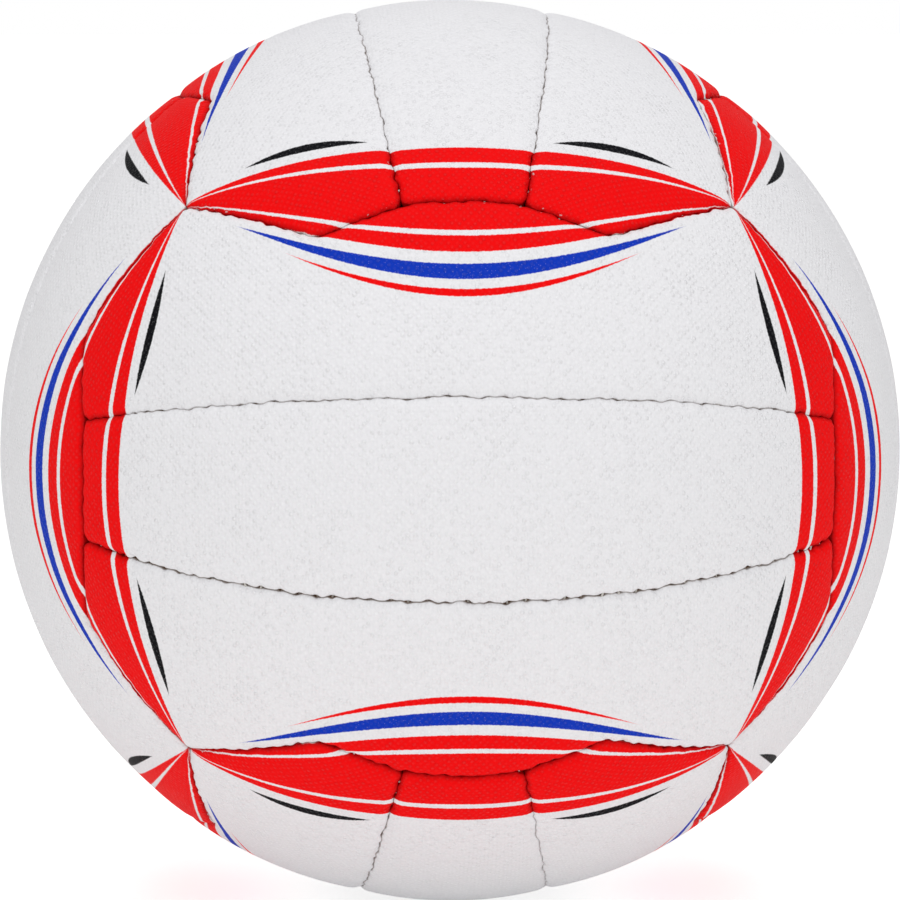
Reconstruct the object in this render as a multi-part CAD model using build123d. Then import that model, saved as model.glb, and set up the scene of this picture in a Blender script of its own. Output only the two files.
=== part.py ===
"""A hand-stitched netball: eighteen turned-edge panels round a bladder with a needle valve.

The ball has six faces of three parallel strips. The strips of one face run square to those of
its neighbours, so each long side of a face meets the strip ends of the next. Every seam lies on
circles on the ball, and a panel is what a loop of such circles encloses. Two die-cut shapes, a
centre panel and a side panel, make all eighteen. They are built on the top face and turned into
place. Millimetres and degrees, +Z up, origin at the ball's centre, front of the ball towards -Y.
"""
from build123d import *
import math
import os
from collections import namedtuple

# Ball
BALL_DIAMETER = 222.8
BALL_RADIUS = BALL_DIAMETER / 2

# Seam layout, as angles at the ball's centre
STRIP_TILT = 12.2
JOINT_TILT = 36.6
MIDDLE_TILT = 37.05
PEAK_TILT = 33.5
PEAK_RUN_ANGLE = 17.6

# Sheet materials, and how they turn in at a seam
COVER_THICKNESS = 1.1
GLUE_FILM = 0.05
LINING_THICKNESS = 1.2
SEAM_DEPTH = 5.5
SEAM_GAP = 0.7
INNER_BEND = 0.3
INNER_CORNER = 0.6
PEAK_ROUND = 7.0
JOINT_EASE = 14.0

# Stitching thread, which runs between the turned edges
THREAD_DIAMETER = 0.5
THREAD_DEPTH = 3.0

# Bladder, which presses on the turned edges
BLADDER_WALL = 0.8
SEAT_CLEARANCE = 0.25

# Valve housing, moulded on a flange that is bonded to the bladder
NECK_RADIUS = 4.0
NECK_RECESS = 0.4
NECK_ROUND = 0.6
FLANGE_RADIUS = 13.0
FLANGE_THICKNESS = 1.2
STUB_LENGTH = 3.0
VALVE_CLEARANCE = 0.15

# Cloth patch that stiffens the lining round the valve
PATCH_RADIUS = 16.0
PATCH_THICKNESS = 0.8

# Valve plug, pressed into the housing
PLUG_RADIUS = 2.4
PLUG_CLEARANCE = 0.05
PLUG_RECESS = 0.5
PLUG_HEAD_RADIUS = 3.4
PLUG_HEAD_LENGTH = 1.6
NEEDLE_RADIUS = 1.05
NEEDLE_DEPTH = 7.0
FUNNEL_RADIUS = 1.7
FUNNEL_DEPTH = 0.7

# Depths and rounds that follow from the sheets
LINING_TOP = COVER_THICKNESS + GLUE_FILM
SHEET_THICKNESS = LINING_TOP + LINING_THICKNESS
EDGE_ROUND = INNER_BEND + SHEET_THICKNESS
CORNER_ROUND = INNER_CORNER + SHEET_THICKNESS + SEAM_GAP / 2
SEAM_FOOT = BALL_RADIUS - SEAM_DEPTH

# The hinge line, which every sheet of a panel turns in about
HINGE_RADIUS = BALL_RADIUS - EDGE_ROUND
HINGE_INSET = SEAM_GAP / 2 + BALL_RADIUS * math.asin(EDGE_ROUND / HINGE_RADIUS)

# Bladder and cutters
BLADDER_RADIUS = SEAM_FOOT - SEAT_CLEARANCE
CUT_MARGIN = SEAM_DEPTH / 2

# Heights on the valve's axis, over the ball's centre
NECK_TOP = BALL_RADIUS - NECK_RECESS
PLUG_TOP = NECK_TOP - PLUG_RECESS
PATCH_FOOT = BALL_RADIUS - SHEET_THICKNESS - GLUE_FILM - PATCH_THICKNESS
STUB_FOOT = BLADDER_RADIUS - BLADDER_WALL - STUB_LENGTH
HEAD_TOP = STUB_FOOT - PLUG_CLEARANCE
HEAD_FOOT = HEAD_TOP - PLUG_HEAD_LENGTH

# Directions of the top face: its strips run along Y and lie side by side across X
ALONG = Vector(0, 1, 0)
ACROSS = Vector(1, 0, 0)
OUTWARD = Vector(0, 0, 1)
CENTRE = Vector(0, 0, 0)
THREEFOLD = Axis(CENTRE, ALONG + ACROSS + OUTWARD)

# Each face: its name, the sides that its two side panels lie on, and the turns that take the top
# face there, first about its strips and then about the diagonal
FACES = [
    ("top", "right", "left", 0, 0),
    ("bottom", "left", "right", 180, 0),
    ("right", "back", "front", 0, 120),
    ("left", "front", "back", 180, 120),
    ("back", "upper", "lower", 0, 240),
    ("front", "lower", "upper", 180, 240),
]
VALVE_FACE = "back"

# A circle on the ball. Its panel lies to the left of it, within the angle (radians) of the axis.
Ring = namedtuple("Ring", "axis angle")

# A stretch of a circle: where it starts, as a direction, and how far (degrees) it runs
Stretch = namedtuple("Stretch", "ring start turn")

# A corner of a panel's outline, with the function and the radius that round it
Corner = namedtuple("Corner", "point rounding radius")


# Circles on the ball

def straight(start, end):
    """The great circle from one point to another."""
    return Ring(start.cross(end).normalized(), math.pi / 2)


def bowed(start, middle, end):
    """The circle through three points."""
    axis = (middle - start).cross(end - middle).normalized()
    return Ring(axis, math.acos(axis.dot(start)))


def inset(ring, distance):
    """A circle moved into its panel by a distance measured on the ball."""
    return Ring(ring.axis, ring.angle - distance / BALL_RADIUS)


def crossing(first, second, near):
    """The point where two circles cross, the one nearer to a given point."""
    between = first.axis.dot(second.axis)
    spread = 1 - between**2
    first_level = math.cos(first.angle)
    second_level = math.cos(second.angle)
    flat = first.axis * ((first_level - between * second_level) / spread)
    flat += second.axis * ((second_level - between * first_level) / spread)
    rise = first.axis.cross(second.axis) * math.sqrt((1 - flat.dot(flat)) / spread)
    return max((flat + rise, flat - rise), key=near.dot)


def outward_corner(first, second, near, radius):
    """The small circle that rounds a corner which points out of the panel."""
    centre = crossing(inset(first, radius), inset(second, radius), near)
    return Ring(centre, radius / BALL_RADIUS)


def inward_corner(first, second, near, radius):
    """The small circle that rounds a corner which points into the panel."""
    centre = crossing(inset(first, -radius), inset(second, -radius), near)
    return Ring(-centre, math.pi - radius / BALL_RADIUS)


def touch(ring, rounding):
    """The point where a circle runs into the small one that rounds its corner."""
    sideways = rounding.axis - ring.axis * ring.axis.dot(rounding.axis)
    if rounding.angle > math.pi / 2:
        sideways = -sideways
    return ring.axis * math.cos(ring.angle) + sideways.normalized() * math.sin(ring.angle)


def stretch_between(ring, start, end):
    """The stretch of a circle from one of its points to another."""
    hub = ring.axis * math.cos(ring.angle)
    turn = (start - hub).get_signed_angle(end - hub, ring.axis) % 360
    return Stretch(ring, start, turn)


def spin_axis(stretch):
    """The axis that a stretch runs round."""
    return Axis(CENTRE, stretch.ring.axis)


def arc(stretch, radius):
    """A stretch drawn on a sphere of a radius."""
    middle = stretch.start.rotate(spin_axis(stretch), stretch.turn / 2)
    end = stretch.start.rotate(spin_axis(stretch), stretch.turn)
    return Edge.make_three_point_arc(stretch.start * radius, middle * radius, end * radius)


# Outlines of the panels

def edge_point(run, long_face, end_face, along, tilt):
    """A point of the edge where the long side of one face meets the strip ends of the next."""
    along = math.radians(along)
    tilt = math.radians(tilt)
    level = long_face * math.cos(tilt) + end_face * math.sin(tilt)
    return run * math.sin(along) + level * math.cos(along)


def edge_points(run, long_face, end_face):
    """Middle, joint, peak and corner of half an edge, from its middle outwards."""
    joint_slope = math.tan(math.radians(STRIP_TILT)) * math.sin(math.radians(JOINT_TILT))
    joint_along = math.degrees(math.atan(joint_slope))
    middle = edge_point(run, long_face, end_face, 0, MIDDLE_TILT)
    joint = edge_point(run, long_face, end_face, joint_along, JOINT_TILT)
    peak = edge_point(run, long_face, end_face, PEAK_RUN_ANGLE, PEAK_TILT)
    corner = (run + long_face + end_face).normalized()
    return middle, joint, peak, corner


def mirrored(point, normal):
    """The same point on the other side of the plane through the centre with this normal."""
    return point - normal * (2 * point.dot(normal))


def outline(corners, bow_middles):
    """The circles round a panel: its sides, each followed by the rounding of the corner after it."""
    points = [corner.point for corner in corners]
    sides = []
    for start, end, middle in zip(points, points[1:] + points[:1], bow_middles):
        sides.append(bowed(start, middle, end) if middle else straight(start, end))
    rings = []
    for side, next_side, corner in zip(sides, sides[1:] + sides[:1], corners[1:] + corners[:1]):
        rings.append(side)
        rings.append(corner.rounding(side, next_side, corner.point, corner.radius))
    return rings


def centre_outline():
    """A centre panel: two straight seams and two slightly hollow ends."""
    middle, joint, peak, corner = edge_points(ACROSS, ALONG, OUTWARD)
    left_joint = mirrored(joint, ACROSS)
    points = [mirrored(left_joint, ALONG), mirrored(joint, ALONG), joint, left_joint]
    corners = [Corner(point, outward_corner, CORNER_ROUND) for point in points]
    return outline(corners, [mirrored(middle, ALONG), None, middle, None])


def side_outline():
    """A side panel: two peaked ends, a long side notched by two peaks, and a straight seam."""
    end_middle, end_joint, end_peak, corner = edge_points(ACROSS, ALONG, OUTWARD)
    long_middle, long_joint, long_peak, corner = edge_points(ALONG, OUTWARD, ACROSS)
    half = [
        Corner(long_joint, outward_corner, JOINT_EASE),
        Corner(long_peak, inward_corner, PEAK_ROUND),
        Corner(corner, outward_corner, CORNER_ROUND),
        Corner(end_peak, outward_corner, PEAK_ROUND),
        Corner(end_joint, outward_corner, CORNER_ROUND),
    ]
    other_half = [turn._replace(point=mirrored(turn.point, ALONG)) for turn in reversed(half)]
    bow_middles = [None] * len(half) * 2
    bow_middles[len(half) - 1] = long_middle
    return outline(other_half + half, bow_middles)


# Stretches of a side panel's outline, counted in circles: the edge to the next face, and the seam
LONG_EDGE = slice(4, 13)
STRIP_SEAM = slice(18, 19)


def loop(rings, distance):
    """A panel's outline, inset by a distance, as stretches that run into each other."""
    rings = [inset(ring, distance) for ring in rings]
    joins = []
    for index in range(0, len(rings), 2):
        joins.append(touch(rings[index], rings[index - 1]))
        joins.append(touch(rings[index], rings[index + 1]))
    return [stretch_between(*ends) for ends in zip(rings, joins, joins[1:] + joins[:1])]


# Cover panels and linings

def sphere(radius):
    """A ball whose poles and seam line lie away from the top face."""
    return Rot(0, 90, 0) * Rot(-90, 0, 0) * Sphere(radius)


def skin(hinges, radius):
    """What the hinge lines enclose of a ball's surface."""
    border = Wire([arc(hinge, radius) for hinge in hinges])
    return sphere(radius).face().split_by_perimeter(border, Keep.INSIDE)


def bend_points(hinge, bend):
    """Top, middle and end of a bend about the hinge line, and the foot of the wall below it."""
    ring, start, turn = hinge
    sideways = (start - ring.axis * math.cos(ring.angle)).normalized()
    wall_angle = ring.angle + math.asin(bend / HINGE_RADIUS)
    wall = ring.axis * math.cos(wall_angle) + sideways * math.sin(wall_angle)
    pivot = start * HINGE_RADIUS
    top = start * (HINGE_RADIUS + bend)
    end = wall * math.sqrt(HINGE_RADIUS**2 - bend**2)
    middle = pivot + (top + end - pivot * 2).normalized() * bend
    return top, middle, end, wall * SEAM_FOOT


def turned_edge(hinge, bend, thickness):
    """The surfaces of a sheet's bend and lip along one stretch of the hinge line."""
    top, middle, end, foot = bend_points(hinge, bend)
    inner_top, inner_middle, inner_end, inner_foot = bend_points(hinge, bend - thickness)
    section = [
        Edge.make_three_point_arc(top, middle, end),
        Edge.make_line(end, foot),
        Edge.make_line(foot, inner_foot),
        Edge.make_line(inner_foot, inner_end),
        Edge.make_three_point_arc(inner_end, inner_middle, inner_top),
    ]
    return [Face.revolve(edge, hinge.turn, spin_axis(hinge)) for edge in section]


def turned_sheet(rings, depth, thickness):
    """A sheet that lies a depth under the ball's surface, its edges turned in along the seams."""
    hinges = loop(rings, HINGE_INSET)
    surfaces = [skin(hinges, BALL_RADIUS - depth), skin(hinges, BALL_RADIUS - depth - thickness)]
    for hinge in hinges:
        surfaces += turned_edge(hinge, EDGE_ROUND - depth, thickness)
    return Solid(Shell(surfaces))


# Stitching

def thread(path):
    """A thread laid along stretches that run into each other."""
    strands = []
    for stretch in path:
        heading = stretch.ring.axis.cross(stretch.start)
        start = Plane(origin=stretch.start * (BALL_RADIUS - THREAD_DEPTH), z_dir=heading)
        section = start * Circle(THREAD_DIAMETER / 2)
        strands.append(revolve(section, spin_axis(stretch), stretch.turn))
    return (Part() + strands).solid()


# Bladder and valve, on the top face's axis

def post(radius, foot, top):
    """A round post on the valve's axis, between two heights."""
    return Pos(0, 0, foot) * Cylinder(radius, top - foot, align=(Align.CENTER, Align.CENTER, Align.MIN))


def domed_disc(radius, foot, thickness):
    """A disc on the valve's axis that follows the ball."""
    return (sphere(foot + thickness) - sphere(foot)) & post(radius, 0, BALL_RADIUS)


def valve_hole():
    """The way through the sheets for the valve's neck."""
    return post(NECK_RADIUS + VALVE_CLEARANCE, 0, BALL_RADIUS + CUT_MARGIN)


def make_bladder():
    """A thin ball of air-tight rubber, open only round the valve."""
    return (sphere(BLADDER_RADIUS) - sphere(BLADDER_RADIUS - BLADDER_WALL) - valve_hole()).solid()


def make_valve_housing():
    """A flange bonded to the bladder, with a neck out to the cover and a stub into the bladder."""
    neck = post(NECK_RADIUS, STUB_FOOT, NECK_TOP)
    neck = fillet(neck.edges().sort_by(Axis.Z)[-1], NECK_ROUND)
    flange = domed_disc(FLANGE_RADIUS, BLADDER_RADIUS + GLUE_FILM, FLANGE_THICKNESS)
    bore = post(PLUG_RADIUS + PLUG_CLEARANCE, 0, BALL_RADIUS)
    return (neck + flange - bore).solid()


def make_valve_plug():
    """A plug with a head behind the housing, and a blind needle hole with a funnel mouth."""
    shank = post(PLUG_RADIUS, HEAD_FOOT, PLUG_TOP)
    head = post(PLUG_HEAD_RADIUS, HEAD_FOOT, HEAD_TOP)
    head = fillet(head.edges().sort_by(Axis.Z)[0], PLUG_HEAD_LENGTH / 2)
    needle_hole = post(NEEDLE_RADIUS, PLUG_TOP - NEEDLE_DEPTH, PLUG_TOP)
    mouth = Pos(0, 0, PLUG_TOP - FUNNEL_DEPTH / 2)
    funnel = mouth * Cone(NEEDLE_RADIUS, FUNNEL_RADIUS, FUNNEL_DEPTH)
    return (shank + head - needle_hole - funnel).solid()


def make_valve_patch():
    """A cloth ring glued inside the lining round the valve."""
    return (domed_disc(PATCH_RADIUS, PATCH_FOOT, PATCH_THICKNESS) - valve_hole()).solid()


# The pieces of the top face
centre_rings = centre_outline()
side_rings = side_outline()
centre_panel = turned_sheet(centre_rings, 0, COVER_THICKNESS)
centre_lining = turned_sheet(centre_rings, LINING_TOP, LINING_THICKNESS)
side_panel = turned_sheet(side_rings, 0, COVER_THICKNESS)
side_lining = turned_sheet(side_rings, LINING_TOP, LINING_THICKNESS)
seam_line = loop(side_rings, 0)
edge_thread = thread(seam_line[LONG_EDGE])
strip_thread = thread(seam_line[STRIP_SEAM])

# Every piece, turned into place on its face
nodes = {"bladder": make_bladder()}
for face, near_side, far_side, flip, turn in FACES:

    def place(piece):
        """A piece of the top face, moved to this face."""
        return piece.rotate(Axis.Y, flip).rotate(THREEFOLD, turn)

    def place_opposite(piece):
        """A piece of the top face, moved to the other side of this face."""
        return place(piece.rotate(Axis.Z, 180))

    nodes[f"{face}_{near_side}_panel"] = place(side_panel)
    nodes[f"{face}_{far_side}_panel"] = place_opposite(side_panel)
    nodes[f"{face}_{near_side}_lining"] = place(side_lining)
    nodes[f"{face}_{far_side}_lining"] = place_opposite(side_lining)
    nodes[f"{face}_{near_side}_edge_thread"] = place(edge_thread)
    nodes[f"{face}_{far_side}_edge_thread"] = place_opposite(edge_thread)
    nodes[f"{face}_strip_threads"] = Compound([place(strip_thread), place_opposite(strip_thread)])
    if face == VALVE_FACE:
        nodes[f"{face}_centre_panel"] = place((centre_panel - valve_hole()).solid())
        nodes[f"{face}_centre_lining"] = place((centre_lining - valve_hole()).solid())
        nodes["valve_housing"] = place(make_valve_housing())
        nodes["valve_plug"] = place(make_valve_plug())
        nodes["valve_patch"] = place(make_valve_patch())
        nodes["bladder"] = place(nodes["bladder"])
    else:
        nodes[f"{face}_centre_panel"] = place(centre_panel)
        nodes[f"{face}_centre_lining"] = place(centre_lining)

os.makedirs("parts", exist_ok=True)
for name, shape in nodes.items():
    export_step(shape, f"parts/{name}.step")
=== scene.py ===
"""A hand-stitched netball at rest on a pale studio floor.

Eighteen printed panels are stitched round a bladder with a needle valve. Directions are unit
vectors from the ball's centre, sizes are in millimetres until a mesh is made, and the front of
the ball faces -Y.
"""
import math
from collections import namedtuple

import bpy
import numpy as np
from mathutils import Matrix, Vector, geometry, kdtree, noise


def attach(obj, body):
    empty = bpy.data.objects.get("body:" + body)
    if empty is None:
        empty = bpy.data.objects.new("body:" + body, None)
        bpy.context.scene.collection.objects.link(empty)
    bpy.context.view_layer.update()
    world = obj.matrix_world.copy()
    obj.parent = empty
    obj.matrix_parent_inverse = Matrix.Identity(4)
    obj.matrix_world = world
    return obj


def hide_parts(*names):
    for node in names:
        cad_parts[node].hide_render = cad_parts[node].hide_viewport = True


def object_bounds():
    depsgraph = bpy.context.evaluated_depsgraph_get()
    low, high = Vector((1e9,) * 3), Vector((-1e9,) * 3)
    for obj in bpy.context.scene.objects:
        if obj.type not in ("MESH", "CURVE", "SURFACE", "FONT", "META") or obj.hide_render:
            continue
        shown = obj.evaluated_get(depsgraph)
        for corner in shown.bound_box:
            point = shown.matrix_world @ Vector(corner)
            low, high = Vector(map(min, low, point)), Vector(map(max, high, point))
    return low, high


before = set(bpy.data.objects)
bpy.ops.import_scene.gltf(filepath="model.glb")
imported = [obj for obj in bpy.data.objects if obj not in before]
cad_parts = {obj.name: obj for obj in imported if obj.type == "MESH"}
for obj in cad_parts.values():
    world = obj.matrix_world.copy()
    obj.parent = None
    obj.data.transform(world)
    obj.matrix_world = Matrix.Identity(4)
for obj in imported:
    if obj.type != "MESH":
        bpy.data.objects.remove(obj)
cad_low, cad_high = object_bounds()


# Cover panels: cut and placing
# Rubber skin on cloth, die-cut flat in two shapes: a centre strip and a side strip with peaked
# ends. Three strips make one of six faces, and neighbouring faces run square to each other.

MM = 0.001
BALL_RADIUS = max(cad_high) / MM
STRIP_TILT = math.radians(12.2)
JOINT_TILT = math.radians(36.6)
MIDDLE_TILT = math.radians(37.05)
PEAK_TILT = math.radians(33.5)
PEAK_ALONG = math.radians(17.6)
CORNER_ROUND = 2.6
SHARPEST_ROUND = 0.08
PEAK_ROUND = 7.0
JOINT_EASE = 14.0
BORDER_STEP = 0.55
LEAST_STEPS = 5

ACROSS = np.array((1.0, 0.0, 0.0))
ALONG = np.array((0.0, 1.0, 0.0))
OUTWARD = np.array((0.0, 0.0, 1.0))

# A circle on the ball. Its panel lies to the left of it, within the angle of the axis.
Circle = namedtuple("Circle", "axis angle")
# A corner of a die shape, which points out of the panel or into it
Corner = namedtuple("Corner", "point outward radius")
# A die shape: its sides, the corner after each, and the number of steps along each of them
Die = namedtuple("Die", "sides corners counts middle")


def unit(vector):
    """A vector scaled to length one."""
    return vector / np.linalg.norm(vector)


def straight(start, end):
    """The great circle from one point to another."""
    return Circle(unit(np.cross(start, end)), math.pi / 2)


def bowed(start, middle, end):
    """The circle through three points."""
    axis = unit(np.cross(middle - start, end - middle))
    return Circle(axis, math.acos(axis.dot(start)))


def inset(circle, distance):
    """A circle moved into its panel by a distance on the ball."""
    return Circle(circle.axis, circle.angle - distance / BALL_RADIUS)


def crossing(first, second, near):
    """The point where two circles cross, the one nearer to a given point."""
    between = first.axis.dot(second.axis)
    spread = 1 - between**2
    first_level = math.cos(first.angle)
    second_level = math.cos(second.angle)
    flat = first.axis * (first_level - between * second_level) / spread
    flat = flat + second.axis * (second_level - between * first_level) / spread
    rise = np.cross(first.axis, second.axis) * math.sqrt((1 - flat.dot(flat)) / spread)
    return max((flat + rise, flat - rise), key=near.dot)


def rounding(side, next_side, corner, distance):
    """The small circle that rounds a corner between two inset sides."""
    if corner.outward:
        radius = max(corner.radius - distance, SHARPEST_ROUND)
        centre = crossing(inset(side, radius), inset(next_side, radius), corner.point)
        return Circle(centre, radius / BALL_RADIUS)
    radius = corner.radius + distance
    centre = crossing(inset(side, -radius), inset(next_side, -radius), corner.point)
    return Circle(-centre, math.pi - radius / BALL_RADIUS)


def touch(side, round_circle):
    """The point where a side runs into the circle that rounds its corner."""
    sideways = unit(round_circle.axis - side.axis * side.axis.dot(round_circle.axis))
    if round_circle.angle > math.pi / 2:
        sideways = -sideways
    return side.axis * math.cos(side.angle) + sideways * math.sin(side.angle)


def turned(start, axis, angles):
    """The directions that a start reaches by turning about an axis."""
    level = axis * axis.dot(start)
    cosines = np.cos(angles)[:, None]
    sines = np.sin(angles)[:, None]
    return level + (start - level) * cosines + np.cross(axis, start) * sines


def stretches(sides, corners, distance):
    """The stretches of an inset outline: for each its circle, its start and the angle it runs."""
    sides = [inset(side, distance) for side in sides]
    circles = []
    for side, next_side, corner in zip(sides, sides[1:] + sides[:1], corners):
        circles += [side, rounding(side, next_side, corner, distance)]
    joins = []
    for index in range(0, len(circles), 2):
        joins.append(touch(circles[index], circles[index - 1]))
        joins.append(touch(circles[index], circles[index + 1]))
    runs = []
    for circle, start, end in zip(circles, joins, joins[1:] + joins[:1]):
        hub = circle.axis * math.cos(circle.angle)
        first = start - hub
        last = end - hub
        turn = math.atan2(np.cross(first, last).dot(circle.axis), first.dot(last))
        runs.append((circle, start, turn % (2 * math.pi)))
    return runs


def border(die, distance):
    """The directions round a die shape, inset by a distance, as one list for each stretch."""
    lists = []
    for (circle, start, turn), count in zip(stretches(die.sides, die.corners, distance), die.counts):
        lists.append(turned(start, circle.axis, np.linspace(0, turn, count, endpoint=False)))
    return lists


def make_die(corners, bow_middles, middle):
    """A die shape from its corners and the middles of its bowed sides."""
    points = [corner.point for corner in corners]
    sides = []
    for start, end, bow_middle in zip(points, points[1:] + points[:1], bow_middles):
        sides.append(straight(start, end) if bow_middle is None else bowed(start, bow_middle, end))
    corners = corners[1:] + corners[:1]
    counts = []
    for circle, start, turn in stretches(sides, corners, 0):
        length = turn * math.sin(circle.angle) * BALL_RADIUS
        counts.append(max(LEAST_STEPS, round(length / BORDER_STEP)))
    return Die(sides, corners, counts, middle)


def edge_point(run, long_face, end_face, along, tilt):
    """A point of the edge where the long side of one face meets the strip ends of the next."""
    level = long_face * math.cos(tilt) + end_face * math.sin(tilt)
    return run * math.sin(along) + level * math.cos(along)


def edge_points(run, long_face, end_face):
    """Middle, joint, peak and corner of half an edge, from its middle outwards."""
    joint_along = math.atan(math.tan(STRIP_TILT) * math.sin(JOINT_TILT))
    middle = edge_point(run, long_face, end_face, 0, MIDDLE_TILT)
    joint = edge_point(run, long_face, end_face, joint_along, JOINT_TILT)
    peak = edge_point(run, long_face, end_face, PEAK_ALONG, PEAK_TILT)
    return middle, joint, peak, unit(run + long_face + end_face)


def flipped(point, axis):
    """The same point on the other side of the plane square to an axis."""
    return point - 2 * axis * axis.dot(point)


def centre_die():
    """A centre panel: two straight seams and two slightly hollow ends."""
    middle, joint = edge_points(ACROSS, ALONG, OUTWARD)[:2]
    far_joint = flipped(joint, ACROSS)
    points = [flipped(far_joint, ALONG), flipped(joint, ALONG), joint, far_joint]
    corners = [Corner(point, True, CORNER_ROUND) for point in points]
    return make_die(corners, [flipped(middle, ALONG), None, middle, None], OUTWARD)


def side_die():
    """A side panel: two peaked ends, a long side notched by two peaks, and a straight seam."""
    end_joint, end_peak, corner = edge_points(ACROSS, ALONG, OUTWARD)[1:]
    long_middle, long_joint, long_peak = edge_points(ALONG, OUTWARD, ACROSS)[:3]
    half = [
        Corner(long_joint, True, JOINT_EASE),
        Corner(long_peak, False, PEAK_ROUND),
        Corner(corner, True, CORNER_ROUND),
        Corner(end_peak, True, PEAK_ROUND),
        Corner(end_joint, True, CORNER_ROUND),
    ]
    other_half = [corner._replace(point=flipped(corner.point, ALONG)) for corner in reversed(half)]
    bow_middles = [None] * len(half) * 2
    bow_middles[len(half) - 1] = long_middle
    tilt = (STRIP_TILT + MIDDLE_TILT) / 2
    return make_die(other_half + half, bow_middles, OUTWARD * math.cos(tilt) + ACROSS * math.sin(tilt))


def rotation(degrees, axis):
    """A turn about an axis through the ball's centre."""
    return np.array(Matrix.Rotation(math.radians(degrees), 3, Vector(axis)))


# Each face: its name, the sides that its two side panels lie on, and two turns from the top face
FACES = [
    ("top", "right", "left", 0, 0),
    ("bottom", "left", "right", 180, 0),
    ("right", "back", "front", 0, 120),
    ("left", "front", "back", 180, 120),
    ("back", "upper", "lower", 0, 240),
    ("front", "lower", "upper", 180, 240),
]
VALVE_FACE = "back"

# Each panel: its name without the ending, its die shape, and its turn from the top face
Place = namedtuple("Place", "name die turn")
centre_shape = centre_die()
side_shape = side_die()
places = []
for face, near_side, far_side, flip, diagonal_turn in FACES:
    face_turn = rotation(diagonal_turn, ACROSS + ALONG + OUTWARD) @ rotation(flip, ALONG)
    places.append(Place(f"{face}_centre", centre_shape, face_turn))
    places.append(Place(f"{face}_{near_side}", side_shape, face_turn))
    places.append(Place(f"{face}_{far_side}", side_shape, face_turn @ rotation(180, OUTWARD)))


# Seams
# Each seam is sewn by hand from the inside through punched holes, so it wanders a little, and
# every stitch draws the two turned edges down and shows as a fleck of thread between them.

STITCH_PITCH = 4.4
STITCH_SHIFT = 0.5
# How hard a stitch pulls, least and most, and how deep its thread lies: least, likeliest and most
STITCH_PULL = (0.3, 1.3)
STITCH_DEPTH = (1.5, 2.7, 2.9)
# Waves of the hand sewing: how long each is, and how far it reaches to the side
WANDERS = [(9.0, 0.30), (3.4, 0.36), (1.7, 0.42)]
# Stretches of a side panel's border: the edge to the next face, and the seam to the centre panel
LONG_EDGE = slice(4, 13)
STRIP_SEAM = slice(18, 19)

seam_dice = np.random.default_rng(41)
slack_dice = np.random.default_rng(8356)
noise.seed_set(5)

# A seam: the directions of its stitches, the way it runs at each, how hard each one pulls, how deep
# its thread lies, and how slack the seam is, from 0 to 1
Seam = namedtuple("Seam", "stitches headings pulls depths slack")


def wander(directions, sideways):
    """How far the hand sewing puts points of a seam to the side of its drawn line, in millimetres."""
    drifts = np.zeros_like(directions)
    for wave_length, reach in WANDERS:
        for index, direction in enumerate(directions):
            drift = noise.noise_vector(Vector(direction * BALL_RADIUS / wave_length))
            drifts[index] += reach * np.array(drift)
    return sideways * np.sum(drifts * sideways, axis=1, keepdims=True)


def along_line(line, reached, marks):
    """The directions at given marks of a line, measured along it in millimetres."""
    return np.stack([np.interp(marks, reached, line[:, axis]) for axis in range(3)], axis=1)


def sew(line):
    """A seam with its stitches spread evenly along a line of directions."""
    steps = np.linalg.norm(np.diff(line, axis=0), axis=1) * BALL_RADIUS
    reached = np.concatenate(([0], np.cumsum(steps)))
    count = round(reached[-1] / STITCH_PITCH)
    marks = (np.arange(count) + 0.5) * reached[-1] / count
    marks += seam_dice.uniform(-STITCH_SHIFT, STITCH_SHIFT, count)
    stitches = along_line(line, reached, marks)
    stitches /= np.linalg.norm(stitches, axis=1, keepdims=True)
    headings = along_line(line, reached, marks + STITCH_SHIFT) - stitches
    headings /= np.linalg.norm(headings, axis=1, keepdims=True)
    pulls = seam_dice.uniform(*STITCH_PULL, count)
    depths = seam_dice.triangular(*STITCH_DEPTH, count)
    return Seam(stitches, headings, pulls, depths, np.full(count, slack_dice.uniform()))


side_border = border(side_shape, 0)
long_line = np.concatenate(side_border[LONG_EDGE])
strip_line = np.concatenate(side_border[STRIP_SEAM])
edge_seams = {}
strip_seams = {}
for place in places:
    if place.die is side_shape:
        edge_seams[place.name] = sew(long_line @ place.turn.T)
        strip_seams[place.name] = sew(strip_line @ place.turn.T)
all_seams = list(edge_seams.values()) + list(strip_seams.values())
stitch_points = np.concatenate([seam.stitches for seam in all_seams])
stitch_pulls = np.concatenate([seam.pulls for seam in all_seams])
stitch_slacks = np.concatenate([seam.slack for seam in all_seams])
stitch_tree = kdtree.KDTree(len(stitch_points))
for index, point in enumerate(stitch_points):
    stitch_tree.insert(point, index)
stitch_tree.balance()


# Cover panels: shape
# Each panel bulges a little under the air pressure, rolls over at its edge and runs down into the
# seam. In a tight seam the edges meet high up, and in a slack one they part round each stitch.

ROLL_WIDTH = 2.6
ROLL_DEPTH = 1.0
ROLL_START = math.radians(28)
ROLL_STEPS = 8
LIP_DEPTH = 4.8
BORDER_ROWS = [0.7, 1.6, 2.8]
SEAM_GAP = 0.01
TIGHT_ROLL = 0.62
STITCH_GAP = 0.42
STITCH_OPEN = 0.75
PUCKER_DEPTH = 0.34
PUCKER_TIGHT = 0.35
PUCKER_LENGTH = 1.3
PUCKER_WIDTH = 2.0
SLACK_BLEND = 6
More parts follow.
